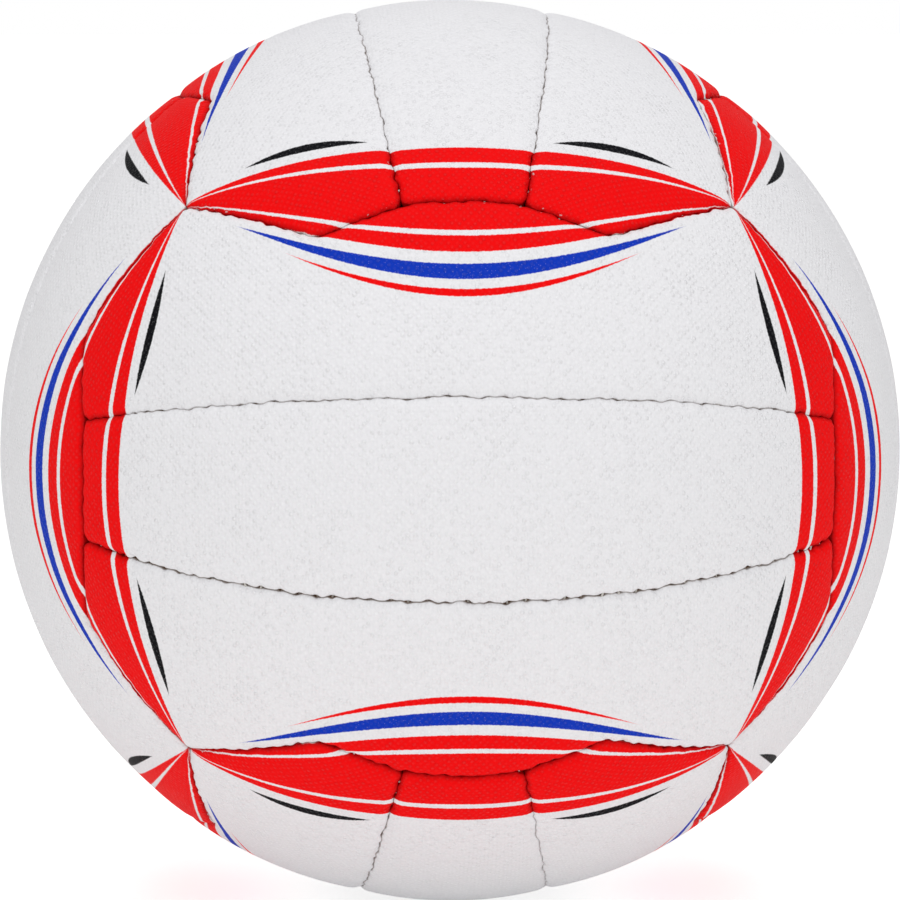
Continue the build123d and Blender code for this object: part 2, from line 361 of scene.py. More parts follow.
# Waves along the lip and over the skin: how long each is, and how high
LIP_RISES = [(6.0, 0.20), (2.4, 0.16)]
LUMPS = [(30.0, 0.14), (12.0, 0.07)]
# Painted shade and dirt along the seam line: its share on a tight seam, its width from the lips, and
# the length of its patches
TIGHT_SEAM_SHADE_AND_GRIME = 0.38
SEAM_SHADE_AND_GRIME_WIDTH = 0.11
SEAM_SHADE_AND_GRIME_PATCH = 7.0
TEAR_PATCH = 24.0
TEAR_INSET = 0.5
TEAR_WIDTH = 0.3
TEAR_LENGTH = 0.45
CROWN = 0.5
CROWN_WIDTH = 8.0
SKIN_THICKNESS = 1.1
FILL_STEP = 2.6
FILL_CLEARANCE = 1.82
# For the triangles: keep those inside the rim, and join points nearer than the reach
KEEP_INSIDE = 1
MERGE_REACH = 1e-6
# Stands in for a length of nothing where something is divided by it
LEAST_LENGTH = 1e-9
HOLE_RADIUS = 4.15
HOLE_ROLL = 0.5
HOLE_DEPTH = 2.4
HOLE_STEPS = 48
HOLE_ROLL_STEPS = 4
# A triangle whose middle lies within this share of the radius where the roll begins is cut away
HOLE_LIMIT = 0.98
PRINT_SLIP = 0.006
RIPPLE_START = 50

# A row of the border: its distance from the seam, its depth, and its distance on the flat skin
Row = namedtuple("Row", "inset depth flat")
panel_dice = np.random.default_rng(17)


def border_rows():
    """The rows of a panel's border, from the foot of the lip to where the middle begins."""
    rolls = []
    for angle in np.linspace(ROLL_START, math.pi / 2, ROLL_STEPS):
        inward = 1 - math.cos(angle) / math.cos(ROLL_START)
        downward = (1 - math.sin(angle)) / (1 - math.sin(ROLL_START))
        rolls.append((ROLL_WIDTH * inward, ROLL_DEPTH * downward))
    profile = [(0, LIP_DEPTH), (0, (LIP_DEPTH + ROLL_DEPTH) / 2)] + rolls
    profile += [(ROLL_WIDTH + beyond, 0) for beyond in BORDER_ROWS]
    rows = [Row(*profile[-1], profile[-1][0])]
    for inward, depth in reversed(profile[:-1]):
        step = math.hypot(rows[0].inset - inward, rows[0].depth - depth)
        rows.insert(0, Row(inward, depth, rows[0].flat - step))
    return rows


def flatten(directions, die):
    """Directions unrolled on a plane that touches the ball in the die's middle: across, along."""
    across = np.cross(ALONG, die.middle)
    away = np.arccos(np.clip(directions @ die.middle, -1, 1))
    plan = np.stack([directions @ across, directions @ ALONG], axis=1)
    return plan * (BALL_RADIUS * away / np.maximum(np.linalg.norm(plan, axis=1), LEAST_LENGTH))[:, None]


def unflatten(plan, die):
    """The directions of points on that plane."""
    across = np.cross(ALONG, die.middle)
    reach = np.linalg.norm(plan, axis=1)
    heading = plan / np.maximum(reach, LEAST_LENGTH)[:, None]
    tangent = heading[:, :1] * across + heading[:, 1:] * ALONG
    away = (reach / BALL_RADIUS)[:, None]
    return die.middle * np.cos(away) + tangent * np.sin(away)


def fill(rim, hole):
    """Points and triangles that fill a rim on the plane, round a ring of points if it has a hole."""
    near = kdtree.KDTree(len(rim) + len(hole))
    for index, point in enumerate(np.concatenate([rim, hole])):
        near.insert((*point, 0), index)
    near.balance()
    points = [Vector(point) for point in np.concatenate([rim, hole])]
    low = rim.min(axis=0)
    high = rim.max(axis=0)
    for line, along in enumerate(np.arange(low[1], high[1], FILL_STEP * math.sqrt(3) / 2)):
        for across in np.arange(low[0] + line % 2 * FILL_STEP / 2, high[0], FILL_STEP):
            if near.find((across, along, 0))[2] > FILL_CLEARANCE:
                points.append(Vector((across, along)))
    ring = [(index, (index + 1) % len(rim)) for index in range(len(rim))]
    result = geometry.delaunay_2d_cdt(points, ring, [], KEEP_INSIDE, MERGE_REACH)
    points = np.array([tuple(point) for point in result[0]])
    triangles = [tuple(face) for face in result[2]]
    if len(hole):
        middles = [points[list(face)].mean(axis=0) for face in triangles]
        reach = np.linalg.norm(hole[0]) * HOLE_LIMIT
        triangles = [face for face, middle in zip(triangles, middles) if np.linalg.norm(middle) > reach]
    return points, triangles


def ring_faces(start, next_start, count):
    """Quads between two closed rows of points."""
    faces = []
    for index in range(count):
        after = (index + 1) % count
        faces.append((start + index, start + after, next_start + after, next_start + index))
    return faces


# A die shape as a mesh before it is sewn in: rows of directions round its border, then the points
# that fill it, with their places on the flat skin
Blank = namedtuple("Blank", "rows borders flats fill_points faces hole_rows")


def make_blank(die, with_hole):
    """The mesh of a die shape, laid on the ball."""
    rows = border_rows()
    seam = np.concatenate(border(die, 0))
    borders = [np.concatenate(border(die, SEAM_GAP + row.inset)) for row in rows]
    plans = [flatten(directions, die) for directions in borders]
    inward = flatten(np.concatenate(border(die, ROLL_WIDTH)), die) - flatten(seam, die)
    inward /= np.maximum(np.linalg.norm(inward, axis=1), LEAST_LENGTH)[:, None]
    flats = [plan + inward * (row.flat - row.inset) for plan, row in zip(plans, rows)]
    count = len(seam)
    faces = []
    for index in range(len(rows) - 1):
        faces += ring_faces(index * count, (index + 1) * count, count)
    hole = np.zeros((0, 2))
    hole_rows = []
    if with_hole:
        turns = np.linspace(0, 2 * math.pi, HOLE_STEPS, endpoint=False)
        ring = np.stack([np.cos(turns), np.sin(turns)], axis=1)
        hole = ring * (HOLE_RADIUS + HOLE_ROLL)
        for angle in np.linspace(math.pi / 2, 0, HOLE_ROLL_STEPS + 1)[1:]:
            reach = HOLE_RADIUS + HOLE_ROLL * (1 - math.cos(angle))
            hole_rows.append((ring * reach, HOLE_ROLL * (1 - math.sin(angle))))
        hole_rows.append((ring * HOLE_RADIUS, HOLE_DEPTH))
    points, triangles = fill(plans[-1], hole)
    first = (len(rows) - 1) * count
    faces += [tuple(first + corner for corner in face) for face in triangles]
    start = first + count
    for index in range(len(hole_rows)):
        next_start = first + len(points) + index * HOLE_STEPS
        faces += ring_faces(start, next_start, HOLE_STEPS)
        start = next_start
    return Blank(rows, borders, flats, points[count:], faces, hole_rows)


def ripple(directions, wave_length, start):
    """Soft waves between -1 and 1 over the ball, as long as given in millimetres."""
    spots = directions * (BALL_RADIUS / wave_length) + start
    return np.array([noise.noise(Vector(spot)) for spot in spots])


def unevenness(directions, start):
    """How far the laminated skin lies below its even curve."""
    return sum(height * ripple(directions, wave_length, start) for wave_length, height in LUMPS)


def averaged(values, count):
    """Values round a closed border, each averaged with a count of its neighbours on both sides."""
    ring = np.concatenate([values[-count:], values, values[:count]])
    width = 2 * count + 1
    return np.convolve(ring, np.full(width, 1 / width), "valid")


# The border of a panel in its place: its points, the painted shade and dirt along its seam line, and
# how far the ink is torn
SewnBorder = namedtuple("SewnBorder", "points grimes tears")


def sewn_border(blank, place, start):
    """The border of a panel as the seams hold it, row by row."""
    seam = np.concatenate(border(place.die, 0)) @ place.turn.T
    inward = np.concatenate(border(place.die, ROLL_WIDTH)) @ place.turn.T - seam
    inward /= np.linalg.norm(inward, axis=1, keepdims=True)
    nearest = [stitch_tree.find(direction) for direction in seam]
    stitches = [stitch for point, stitch, distance in nearest]
    reaches = np.array([distance for point, stitch, distance in nearest]) * BALL_RADIUS
    pulls = stitch_pulls[stitches]
    slack = averaged(stitch_slacks[stitches], SLACK_BLEND)
    opening = STITCH_GAP * pulls * slack * np.exp(-((reaches / STITCH_OPEN) ** 2))
    shifts = wander(seam, inward) + inward * opening[:, None]
    pucker = PUCKER_DEPTH * pulls * np.exp(-((reaches / PUCKER_LENGTH) ** 2))
    pucker *= PUCKER_TIGHT + (1 - PUCKER_TIGHT) * slack
    roll_share = TIGHT_ROLL + (1 - TIGHT_ROLL) * slack
    rise = sum(height * ripple(seam, wave_length, start) for wave_length, height in LIP_RISES)
    # Painted shade and dirt along the seam line, stronger on slack seams and varying in patches
    shade_and_dirt = (TIGHT_SEAM_SHADE_AND_GRIME + (1 - TIGHT_SEAM_SHADE_AND_GRIME) * slack) * (1 + ripple(seam, SEAM_SHADE_AND_GRIME_PATCH, start))
    tearing = pulls * np.maximum(ripple(seam, TEAR_PATCH, start), 0)
    tearing *= np.exp(-((reaches / TEAR_LENGTH) ** 2))
    widest = blank.rows[-1].inset
    points = []
    grimes = []
    tears = []
    for row, directions in zip(blank.rows, blank.borders):
        directions = directions @ place.turn.T
        fade = (1 - row.inset / widest) ** 2
        lip_fade = max(0, 1 - row.inset / ROLL_WIDTH) ** 2
        depth = row.depth * (roll_share if row.depth <= ROLL_DEPTH else 1)
        sink = depth + CROWN * math.exp(-row.inset / CROWN_WIDTH) + unevenness(directions, start)
        sink = sink + pucker * math.exp(-((row.inset / PUCKER_WIDTH) ** 2)) * (fade > 0)
        sink = sink - rise * fade
        points.append(directions * (BALL_RADIUS - sink)[:, None] + shifts * lip_fade)
        grimes.append(shade_and_dirt * math.exp(-((row.inset / SEAM_SHADE_AND_GRIME_WIDTH) ** 2)))
        tears.append(tearing * math.exp(-(((row.inset - TEAR_INSET) / TEAR_WIDTH) ** 2)))
    return SewnBorder(points, grimes, tears)


def keep(mesh, name, values):
    """Keeps a number or a vector for each point of a mesh."""
    kind, part = ("FLOAT", "value") if values.ndim == 1 else ("FLOAT_VECTOR", "vector")
    mesh.attributes.new(name, kind, "POINT").data.foreach_set(part, values.ravel())


def panel_mesh(name, blank, place):
    """A sewn-in panel as an object."""
    start = panel_dice.uniform(-RIPPLE_START, RIPPLE_START, 3)
    sewn = sewn_border(blank, place, start)
    points = list(sewn.points)
    printed = [directions @ place.turn.T for directions in blank.borders]
    flats = list(blank.flats)
    depths = [np.full(len(row), spec.depth) for row, spec in zip(points, blank.rows)]
    seam = kdtree.KDTree(len(blank.borders[0]))
    for index, direction in enumerate(blank.borders[0]):
        seam.insert(direction, index)
    seam.balance()
    middle = unflatten(blank.fill_points, place.die)
    away = np.array([seam.find(direction)[2] * BALL_RADIUS for direction in middle])
    middle = middle @ place.turn.T
    sink = CROWN * np.exp(-away / CROWN_WIDTH) + unevenness(middle, start)
    points.append(middle * (BALL_RADIUS - sink)[:, None])
    printed.append(middle)
    flats.append(blank.fill_points)
    depths.append(np.zeros(len(middle)))
    for plan, depth in blank.hole_rows:
        wall = unflatten(plan, place.die) @ place.turn.T
        points.append(wall * (BALL_RADIUS - depth - unevenness(wall, start))[:, None])
        printed.append(wall)
        flats.append(plan)
        depths.append(np.full(len(wall), depth))
    points = np.concatenate(points)
    clean = np.zeros(len(points) - sum(len(row) for row in sewn.points))
    slip_angle = panel_dice.uniform(-PRINT_SLIP, PRINT_SLIP)
    slip = Matrix.Rotation(slip_angle, 3, Vector(panel_dice.normal(size=3)))
    printed = np.concatenate(printed) @ np.array(slip)
    flats = np.concatenate(flats)
    mesh = bpy.data.meshes.new(name)
    mesh.from_pydata(points * MM, [], blank.faces)
    keep(mesh, "print_at", printed)
    keep(mesh, "grain_at", np.concatenate([flats, np.zeros((len(flats), 1))], axis=1) * MM)
    keep(mesh, "seam_depth", np.concatenate(depths))
    keep(mesh, "seam_shade_and_grime", np.concatenate([*sewn.grimes, clean]))
    keep(mesh, "ink_tear", np.concatenate([*sewn.tears, clean]))
    mesh.shade_smooth()
    panel = bpy.data.objects.new(name, mesh)
    bpy.context.scene.collection.objects.link(panel)
    skin = panel.modifiers.new("skin", "SOLIDIFY")
    skin.thickness = SKIN_THICKNESS * MM
    skin.offset = -1
    return panel


# Cover panels: skin and print
# Pimpled white rubber, screen-printed before it is cut. Red lenses lie over the edges between two
# faces, with blue and thin red stripes on one side of them and black dashes on the other.

WHITE_RUBBER = (0.95, 0.945, 0.97, 1)
# Dull rubber colour, for the fine mottling and for the painted shade and dirt between the pimples
DULL_AND_SHADED_WHITE = (0.785, 0.78, 0.805, 1)
RED_INK = (0.92, 0.001, 0.002, 1)
# Painted shade for red ink where it runs down into a seam
RED_CREASE_SHADE = (0.36, 0.0, 0.001, 1)
BLUE_INK = (0.004, 0.039, 0.50, 1)
BLACK_INK = (0.003, 0.003, 0.005, 1)
SEAM_SHADE_AND_GRIME = (0.38, 0.33, 0.29, 1)
TURNED_EDGE = (0.36, 0.19, 0.10, 1)
INK_BLUR = 0.22
INK_RAGGED = 0.4
# Pimples: their spacing and height are sizes, their radius and slope are shares of a cell
PIMPLE_ALONG = 1.8
PIMPLE_ACROSS = 2.0
PIMPLE_DISORDER = 0.3
PIMPLE_VARIETY = 0.75
PIMPLE_RADIUS = 0.25
PIMPLE_SLOPE = 0.34
PIMPLE_HEIGHT = 0.30
# How much darker the ground between the pimples is painted, partly as dirt and partly as painted shade
# that makes the pimple tops look lit
GROUND_DIRT_AND_SHADE = 0.55
PIMPLE_WORN = 0.65
FINE_HEIGHT = 0.35
FINE_LEVEL = 0.45
INK_TORN = 0.75
RED_RUBBED = 0.02
DARK_RUBBED = 0.03
DARK_SPECKED = 0.14
RUBBER_ROUGHNESS = (0.56, 0.66)
RUBBER_SHINE = 0.06
# Waves to the metre
WEAR_WAVES = 75
FINE_WAVES = 1100
RAGGED_WAVES = 1500
TEAR_WAVES = 1800
SPECK_WAVES = 2300
# Levels where one finish goes over into the next, and how wide the change is
WEAR_LEVEL = (0.5, 0.40)
TEAR_LEVEL = (0.14, 0.08)
SPECK_LEVEL = (0.69, 0.06)
EDGE_LEVEL = (1.5, 0.8)
CREASE_SHADE_LEVEL = (0.65, 0.9)
LENS_LEVEL = (0, 0.02)
# The print on an edge: gaps and widths are sizes, the pinstripe lies at shares of the lens's width,
# middles and reaches are shares of its half length, and the last two are degrees of tilt
RED_LENS = (-14.0, 15.0)
PINSTRIPE = (0.60, 0.70)
BLUE_GAP = 3.0
BLUE_WIDTH = 3.8
BLUE_REACH = 0.8
THIN_GAP = 2.4
THIN_WIDTH = 1.8
THIN_REACH = 0.62
DASH_GAP = 2.8
DASH_WIDTH = 2.3
DASH_MIDDLE = 0.55
DASH_REACH = 0.22
LENS_MIDDLE = 37.0
LENS_BEND = 8.0


class Field:
    """A value in a material's node tree that can be reckoned with like a number."""

    def __init__(self, tree, socket):
        self.tree = tree
        self.socket = socket

    def reckon(self, operation, *others, clamp=False):
        """The result of a math node on this value and others."""
        node = self.tree.nodes.new("ShaderNodeMath")
        node.operation = operation
        node.use_clamp = clamp
        for socket, value in zip(node.inputs, (self, *others)):
            if isinstance(value, Field):
                self.tree.links.new(value.socket, socket)
            else:
                socket.default_value = value
        return Field(self.tree, node.outputs[0])

    def __add__(self, other):
        return self.reckon("ADD", other)

    def __sub__(self, other):
        return self.reckon("SUBTRACT", other)

    def __mul__(self, other):
        return self.reckon("MULTIPLY", other)

    def __truediv__(self, other):
        return self.reckon("DIVIDE", other)

    def __neg__(self):
        return self.reckon("MULTIPLY", -1)

    def from_one(self):
        """One less this value."""
        return self.reckon("MULTIPLY_ADD", -1, 1)

    def above(self, level, blur):
        """Goes from 0 to 1 where this value passes a level."""
        return ((self - level) / blur).reckon("ADD", 0.5, clamp=True)

    def larger(self, other):
        """The larger of two values."""
        return self.reckon("MAXIMUM", other)


def new_material(name):
    """A material with its node tree and its main shader."""
    material = bpy.data.materials.new(name)
    material.use_nodes = True
    tree = material.node_tree
    return material, tree, tree.nodes["Principled BSDF"]


def attribute(tree, name, output="Vector"):
    """An attribute of the mesh as a socket."""
    node = tree.nodes.new("ShaderNodeAttribute")
    node.attribute_name = name
    return node.outputs[output]


def components(tree, vector):
    """The three components of a vector socket."""
    node = tree.nodes.new("ShaderNodeSeparateXYZ")
    tree.links.new(vector, node.inputs[0])
    return [Field(tree, socket) for socket in node.outputs]


def cloud(tree, vector, scale, detail=2.0):
    """Soft noise between 0 and 1 at a number of waves for each unit of a vector."""
    node = tree.nodes.new("ShaderNodeTexNoise")
    node.inputs["Scale"].default_value = scale
    node.inputs["Detail"].default_value = detail
    tree.links.new(vector, node.inputs["Vector"])
    return Field(tree, node.outputs[0])


def blend(tree, amount, first, second, kind="MIX"):
    """One colour going over into another, or stained by it. Each is a colour or a socket."""
    node = tree.nodes.new("ShaderNodeMix")
    node.data_type = "RGBA"
    node.blend_type = kind
    tree.links.new(amount.socket, node.inputs[0])
    for socket, colour in ((node.inputs[6], first), (node.inputs[7], second)):
        if isinstance(colour, tuple):
            socket.default_value = colour
        else:
            tree.links.new(colour, socket)
    return node.outputs[2]


def roughen(tree, shader, amount, least, most):
    """Lets the shader's roughness go from the least to the most with an amount."""
    tree.links.new((amount * (most - least) + least).socket, shader.inputs["Roughness"])


def relief(tree, shader, height, distance):
    """Raises the shader's surface by a height field times a distance."""
    node = tree.nodes.new("ShaderNodeBump")
    node.inputs["Distance"].default_value = distance
    tree.links.new(height.socket, node.inputs["Height"])
    tree.links.new(node.outputs[0], shader.inputs["Normal"])


def edge_print(run, long_face, end_face, ragged):
    """Red, blue and black ink of the edges that run along one axis, as masks."""
    along = run * math.sqrt(3)
    swell = (along * along).from_one()
    tilt = end_face.reckon("ARCTAN2", long_face) * math.degrees(1)
    level = (run * run).from_one().larger(0).reckon("SQRT")
    degrees_off = tilt - (along * along) * LENS_BEND - LENS_MIDDLE
    off = degrees_off * level * (math.radians(1) * BALL_RADIUS) + ragged
    low = swell * RED_LENS[0]
    high = swell * RED_LENS[1]
    inside = swell.above(*LENS_LEVEL)
    lens = (off - low).above(0, INK_BLUR) * (high - off).above(0, INK_BLUR) * inside
    for side, way in ((high, 1), (low, -1)):
        past = (off - side * PINSTRIPE[0]) * way
        short = (side * PINSTRIPE[1] - off) * way
        lens = lens * (past.above(0, INK_BLUR) * short.above(0, INK_BLUR)).from_one()
    beside = low - off - BLUE_GAP
    blue_width = ((along / BLUE_REACH) * (along / BLUE_REACH)).from_one() * BLUE_WIDTH
    blue = beside.above(0, INK_BLUR) * (blue_width - beside).above(0, INK_BLUR)
    beyond = beside - blue_width.larger(0) - THIN_GAP
    thin_width = ((along / THIN_REACH) * (along / THIN_REACH)).from_one() * THIN_WIDTH
    thin = beyond.above(0, INK_BLUR) * (thin_width - beyond).above(0, INK_BLUR)
    above = off - high - DASH_GAP
    dash_place = (along - DASH_MIDDLE) / DASH_REACH
    dash_width = (dash_place * dash_place).from_one() * DASH_WIDTH
    dash = above.above(0, INK_BLUR) * (dash_width - above).above(0, INK_BLUR)
    return lens.larger(thin), blue, dash


def pimple_pattern(tree, across, along):
    """Staggered rows of pimples, each a little off its place and as high as it came out: 0 to 1."""
    row = across / (PIMPLE_ACROSS * MM)
    column = along / (PIMPLE_ALONG * MM)
    place = tree.nodes.new("ShaderNodeCombineXYZ")
    tree.links.new((row + column).socket, place.inputs[0])
    tree.links.new((row - column).socket, place.inputs[1])
    cells = tree.nodes.new("ShaderNodeTexVoronoi")
    cells.voronoi_dimensions = "2D"
    cells.inputs["Scale"].default_value = 1
    cells.inputs["Randomness"].default_value = PIMPLE_DISORDER
    tree.links.new(place.outputs[0], cells.inputs["Vector"])
    height = components(tree, cells.outputs["Color"])[0] * PIMPLE_VARIETY + (1 - PIMPLE_VARIETY)
    return (-Field(tree, cells.outputs["Distance"])).above(-PIMPLE_RADIUS, PIMPLE_SLOPE) * height


def cover_material():
    """Printed white rubber with staggered rows of pimples."""
    material, tree, shader = new_material("printed_grip_rubber")
    grain_at = attribute(tree, "grain_at")
    across, along = components(tree, grain_at)[:2]
    unworn = cloud(tree, grain_at, WEAR_WAVES, detail=3).above(*WEAR_LEVEL)
    pimples = pimple_pattern(tree, across, along) * (unworn * (1 - PIMPLE_WORN) + PIMPLE_WORN)
    fine = cloud(tree, grain_at, FINE_WAVES, detail=4)
    ragged = (cloud(tree, grain_at, RAGGED_WAVES) - 0.5) * INK_RAGGED
    tear = Field(tree, attribute(tree, "ink_tear", "Fac")) * cloud(tree, grain_at, TEAR_WAVES, detail=3)
    specks = cloud(tree, grain_at, SPECK_WAVES, detail=1).above(*SPECK_LEVEL)
    torn = tear.above(*TEAR_LEVEL) * INK_TORN
    red_kept = (pimples * RED_RUBBED + torn).from_one()
    dark_kept = (pimples * DARK_RUBBED + specks * DARK_SPECKED).from_one()
    sides = [side.reckon("ABSOLUTE") for side in components(tree, attribute(tree, "print_at"))]
    red, blue, black = edge_print(sides[0], sides[1], sides[2], ragged)
    for turn in (1, 2):
        masks = edge_print(sides[turn], sides[(turn + 1) % 3], sides[(turn + 2) % 3], ragged)
        red = red.larger(masks[0])
        blue = blue.larger(masks[1])
        black = black.larger(masks[2])
    grime_and_shade = Field(tree, attribute(tree, "seam_shade_and_grime", "Fac")).reckon("ADD", 0, clamp=True)
    depth = Field(tree, attribute(tree, "seam_depth", "Fac"))
    # The fine mottling dulls the white, and the ground between the pimples is painted darker, partly
    # dirt and partly painted shade
    dull = (fine - FINE_LEVEL).larger(0) + pimples.from_one() * GROUND_DIRT_AND_SHADE
    colour = blend(tree, dull, WHITE_RUBBER, DULL_AND_SHADED_WHITE)
    # Painted shade in the seam groove, mixed with dirt: the colour darkens along the line where the
    # lips meet
    colour = blend(tree, grime_and_shade, colour, SEAM_SHADE_AND_GRIME, "MULTIPLY")
    colour = blend(tree, depth.above(*EDGE_LEVEL), colour, TURNED_EDGE)
    colour = blend(tree, red * red_kept, colour, RED_INK)
    # Painted shade: red ink darkens as the seam's depth grows
    colour = blend(tree, red * depth.above(*CREASE_SHADE_LEVEL), colour, RED_CREASE_SHADE)
    colour = blend(tree, blue * dark_kept, colour, BLUE_INK)
    colour = blend(tree, black * dark_kept, colour, BLACK_INK)
    tree.links.new(colour, shader.inputs["Base Color"])
    roughen(tree, shader, fine - pimples, *RUBBER_ROUGHNESS)
    shader.inputs["Specular IOR Level"].default_value = RUBBER_SHINE
    relief(tree, shader, pimples + fine * FINE_HEIGHT, PIMPLE_HEIGHT * MM)
    return material


cover = cover_material()
blanks = {id(shape): make_blank(shape, False) for shape in (centre_shape, side_shape)}
valve_blank = make_blank(centre_shape, True)
for place in places:
    blank = valve_blank if place.name == f"{VALVE_FACE}_centre" else blanks[id(place.die)]
    panel = panel_mesh(f"sewn_{place.name}_panel", blank, place)
    panel.data.materials.append(cover)
    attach(panel, "root")
    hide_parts(f"{place.name}_panel")


# Stitching thread
# Waxed three-ply polyester. It crosses from one turned edge to the other at each stitch and runs
# down behind the edge to the next, so only short flecks of it show in the seam.

THREAD_RADIUS = 0.29
THREAD_SIDES = 8
PLY_LENGTH = 1.1
# Points of one stitch: how far across the seam, how far below its middle, and how far along it
STITCH_PATH = [(-1.25, 1.5, -0.5), (-0.75, 0.45, -0.3), (-0.3, 0, -0.12),
               (0.3, 0, 0.12), (0.75, 0.45, 0.3), (1.25, 1.5, 0.5)]
PLIES = 3
PLY_HEIGHT = 0.06
# The weight of the painted shade in the ply furrows, and of the wax patches
PLY_SHADE = 0.65
WAX_SHADE = 0.3
WAX_WAVES = 2.5
THREAD_ROUGHNESS = (0.45, 0.70)
# The thread's own white, and the dark colour for its wax patches and for the painted shade in its
# furrows
THREAD_WHITE = (0.80, 0.78, 0.74, 1)
THREAD_SHADE = (0.46, 0.43, 0.39, 1)


def stitch_line(seam):
    """The points that a thread runs through."""
    sideways = np.cross(seam.stitches, seam.headings)
    shifts = wander(seam.stitches, sideways)
    sideways[::2] *= -1
    points = []
    for index, (stitch, heading) in enumerate(zip(seam.stitches, seam.headings)):
        for across, drop, along in STITCH_PATH:
            height = BALL_RADIUS - seam.depths[index] - drop
            point = stitch * height + sideways[index] * across + heading * along
            points.append(point + shifts[index])
    return np.array(points)


def tube(points, radius, first):
    """Vertices, faces and twist places of a closed round tube, numbered from a first one."""
    tangents = np.gradient(points, axis=0)
    tangents /= np.linalg.norm(tangents, axis=1, keepdims=True)
    outward = points / np.linalg.norm(points, axis=1, keepdims=True)
    sideways = np.cross(tangents, outward)
    sideways /= np.linalg.norm(sideways, axis=1, keepdims=True)
    upward = np.cross(sideways, tangents)
    reached = np.concatenate(([0], np.cumsum(np.linalg.norm(np.diff(points, axis=0), axis=1))))
    vertices = []
    twists = []
    faces = []
    for index, point in enumerate(points):
        for side in range(THREAD_SIDES):
            angle = 2 * math.pi * side / THREAD_SIDES
            spoke = sideways[index] * math.cos(angle) + upward[index] * math.sin(angle)
            vertices.append(point + radius * spoke)
            twists.append((reached[index] / PLY_LENGTH, math.cos(angle), math.sin(angle)))
    for index in range(len(points) - 1):
        start = first + index * THREAD_SIDES
        faces += ring_faces(start + THREAD_SIDES, start, THREAD_SIDES)
    last = first + (len(points) - 1) * THREAD_SIDES
    faces.append(tuple(range(first, first + THREAD_SIDES)))
    faces.append(tuple(reversed(range(last, last + THREAD_SIDES))))
    return vertices, faces, twists


def thread_object(name, seams):
    """The thread or threads of one node as an object."""
    vertices = []
    faces = []
    twists = []
    for seam in seams:
        new_vertices, new_faces, new_twists = tube(stitch_line(seam), THREAD_RADIUS, len(vertices))
        vertices += new_vertices
        faces += new_faces
        twists += new_twists
    mesh = bpy.data.meshes.new(name)
    mesh.from_pydata(np.array(vertices) * MM, [], faces)
    keep(mesh, "twist_at", np.array(twists))
    mesh.shade_smooth()
    thread = bpy.data.objects.new(name, mesh)
    bpy.context.scene.collection.objects.link(thread)
    return thread


def thread_material():
    """Off-white waxed thread with the furrows of its plies painted darker as shade."""
    material, tree, shader = new_material("waxed_thread")
    twist_at = attribute(tree, "twist_at")
    along, level, height = components(tree, twist_at)
    around = height.reckon("ARCTAN2", level)
    plies = ((along * (2 * math.pi) + around) * PLIES).reckon("SINE") * 0.5 + 0.5
    wax = cloud(tree, twist_at, WAX_WAVES)
    # Painted shade: the colour darkens in the furrows between the plies, and the wax adds patches of
    # its own
    colour = blend(tree, plies * PLY_SHADE + wax * WAX_SHADE, THREAD_SHADE, THREAD_WHITE)
    tree.links.new(colour, shader.inputs["Base Color"])
    roughen(tree, shader, wax, *THREAD_ROUGHNESS)
    relief(tree, shader, plies, PLY_HEIGHT * MM)
    return material


thread_finish = thread_material()
for name, seam in edge_seams.items():
    thread = thread_object(f"sewn_{name}_edge_thread", [seam])
    thread.data.materials.append(thread_finish)
    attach(thread, "root")
    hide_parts(f"{name}_edge_thread")
for face, near_side, far_side, *turns in FACES:
    seams = [strip_seams[f"{face}_{near_side}"], strip_seams[f"{face}_{far_side}"]]
    thread = thread_object(f"sewn_{face}_strip_threads", seams)
    thread.data.materials.append(thread_finish)
    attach(thread, "root")
    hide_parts(f"{face}_strip_threads")


# Linings and valve patch
# Layers of polyester and cotton cloth, laminated and glued behind the rubber skin, and a cloth
# ring that stiffens them round the valve. They are closed in by the cover.

CLOTH = (0.62, 0.58, 0.50, 1)
CLOTH_SHADE = (0.36, 0.33, 0.28, 1)
YARN_PITCH = 0.55
YARN_HEIGHT = 0.12
# The weight of the painted shade where the weave lies low
YARN_SHADE = 0.7
WEAVE_SWING = 0.16
GLUE_SHADE = 0.3
GLUE_WAVES = 90
CLOTH_ROUGHNESS = (0.72, 0.92)


def cloth_material():
    """Plain-woven cloth stiff with glue, the low parts of its weave painted darker as shade."""
    material, tree, shader = new_material("laminated_cloth")
    place = tree.nodes.new("ShaderNodeTexCoord").outputs["Object"]
    turns = 2 * math.pi / (YARN_PITCH * MM)
    across, along, upward = [(part * turns).reckon("SINE") for part in components(tree, place)]
    weave = (across * along + along * upward + upward * across) * WEAVE_SWING + 0.5
    glue = cloud(tree, place, GLUE_WAVES)
    # Painted shade: the colour darkens where the weave lies low, and the glue adds patches of its own
    colour = blend(tree, weave * YARN_SHADE + glue * GLUE_SHADE, CLOTH_SHADE, CLOTH)
    tree.links.new(colour, shader.inputs["Base Color"])
    roughen(tree, shader, glue, *CLOTH_ROUGHNESS)
    relief(tree, shader, weave, YARN_HEIGHT * MM)
    return material


def dress(node_name, material):
    """Gives a CAD node its finish."""
    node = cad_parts[node_name]
    node.data.materials.clear()
    node.data.materials.append(material)


cloth = cloth_material()
for place in places:
    dress(f"{place.name}_lining", cloth)
dress("valve_patch", cloth)


# Bladder
# Dip-moulded butyl rubber, blown up against the turned edges of the panels. Its talc and flow
# marks stay inside the cover.

BUTYL = (0.030, 0.029, 0.028, 1)
BUTYL_TALC = (0.17, 0.165, 0.155, 1)
BUTYL_ROUGHNESS = (0.42, 0.72)
TALC_WAVES = 45
TALC_LEVEL = (0.58, 0.3)
FLOW_WAVES = 260
FLOW_HEIGHT = 0.10


